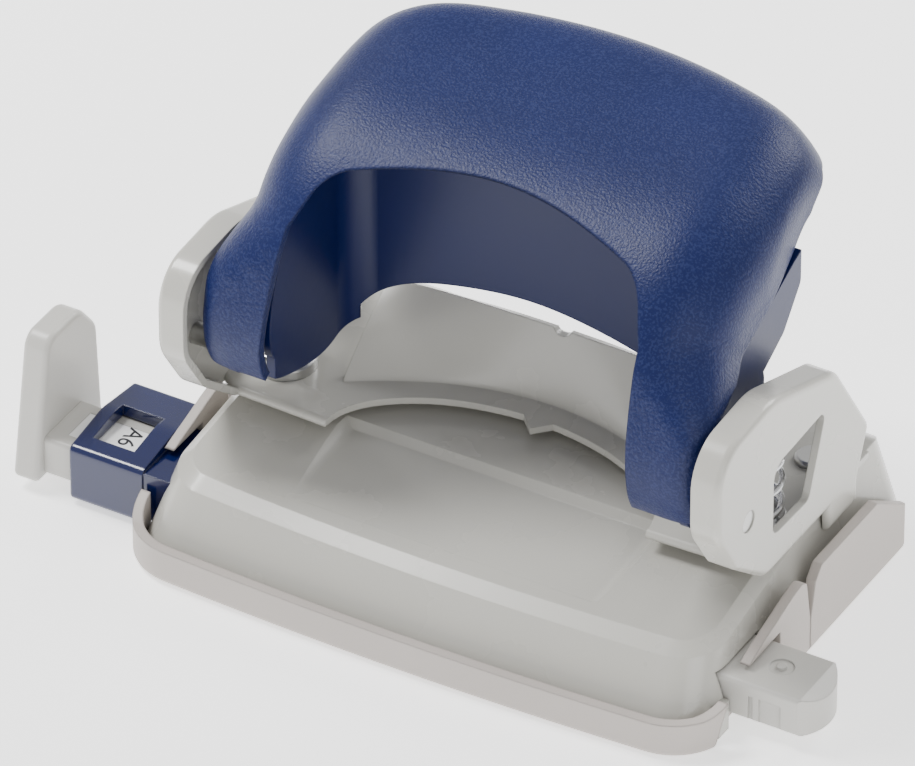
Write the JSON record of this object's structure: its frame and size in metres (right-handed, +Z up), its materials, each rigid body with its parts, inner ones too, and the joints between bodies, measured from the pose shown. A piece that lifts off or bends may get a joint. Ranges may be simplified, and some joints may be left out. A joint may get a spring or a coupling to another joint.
{
  "type": "two-hole paper punch",
  "caption": "Desk hole punch with a blue pressing handle over a pale metal base, a sliding format rail and a hinged chip tray.",
  "frame": {"origin": "on the desk, midway between the two punch pins", "axes": "+X from the left hole to the right hole, -Y towards the front where the paper goes in, +Z up"},
  "size_m": [0.1358, 0.0731, 0.0741],
  "materials": {
    "body_paint": "gloss",
    "tray_grey": "matte",
    "handle_blue": "textured",
    "bracket_navy": "satin",
    "rail_grey": "satin",
    "scale_white": "gloss",
    "housing_blue": "gloss",
    "steel": "satin",
    "bright_steel": "polished"
  },
  "bodies": {
    "base": {"tray_front": "tray_grey", "base_body": "body_paint", "die_left": "steel", "die_right": "steel", "upper_frame": "body_paint", "frame_rivets": "steel", "pin_guide_left": "steel", "pin_guide_right": "steel", "pivot_pin_left": "steel", "pivot_pin_right": "steel", "rail_housing": "housing_blue", "spring_left": "bright_steel", "spring_right": "bright_steel"},
    "handle": {"handle_cover": "handle_blue", "lever_bracket": "bracket_navy"},
    "pin_left": {"punch_pin_left": "bright_steel", "pin_clip_left": "bright_steel"},
    "pin_right": {"punch_pin_right": "bright_steel", "pin_clip_right": "bright_steel"},
    "rail": {"stop_rail": "rail_grey", "stop_plate": "rail_grey", "format_scale": "scale_white"},
    "tray": {"tray_flap": "tray_grey"}
  },
  "joints": [
    {"name": "handle_hinge", "type": "hinge", "parent": "base", "child": "handle", "pos_m": [0, -0.0152, 0.0324], "axis": [-1, 0, 0], "range_deg": [0, 16.5], "stiffness_Nm_per_rad": 1.2, "springref_deg": -20.05},
    {"name": "pin_left_slide", "type": "slide", "parent": "base", "child": "pin_left", "axis": [0, 0, -1], "range_m": [0, 0.0046], "deforming": ["spring_left"]},
    {"name": "pin_right_slide", "type": "slide", "parent": "base", "child": "pin_right", "axis": [0, 0, -1], "range_m": [0, 0.0046], "deforming": ["spring_right"]},
    {"name": "rail_slide", "type": "slide", "parent": "base", "child": "rail", "axis": [-1, 0, 0], "range_m": [0, 0.0797]},
    {"name": "tray_hinge", "type": "hinge", "parent": "base", "child": "tray", "pos_m": [0, -0.001, 0], "axis": [-1, 0, 0], "range_deg": [0, 70]}
  ],
  "couplings": [
    {"joint": "pin_left_slide", "follows": "handle_hinge", "m_per_rad": 0.01597},
    {"joint": "pin_right_slide", "follows": "handle_hinge", "m_per_rad": 0.01597}
  ]
}
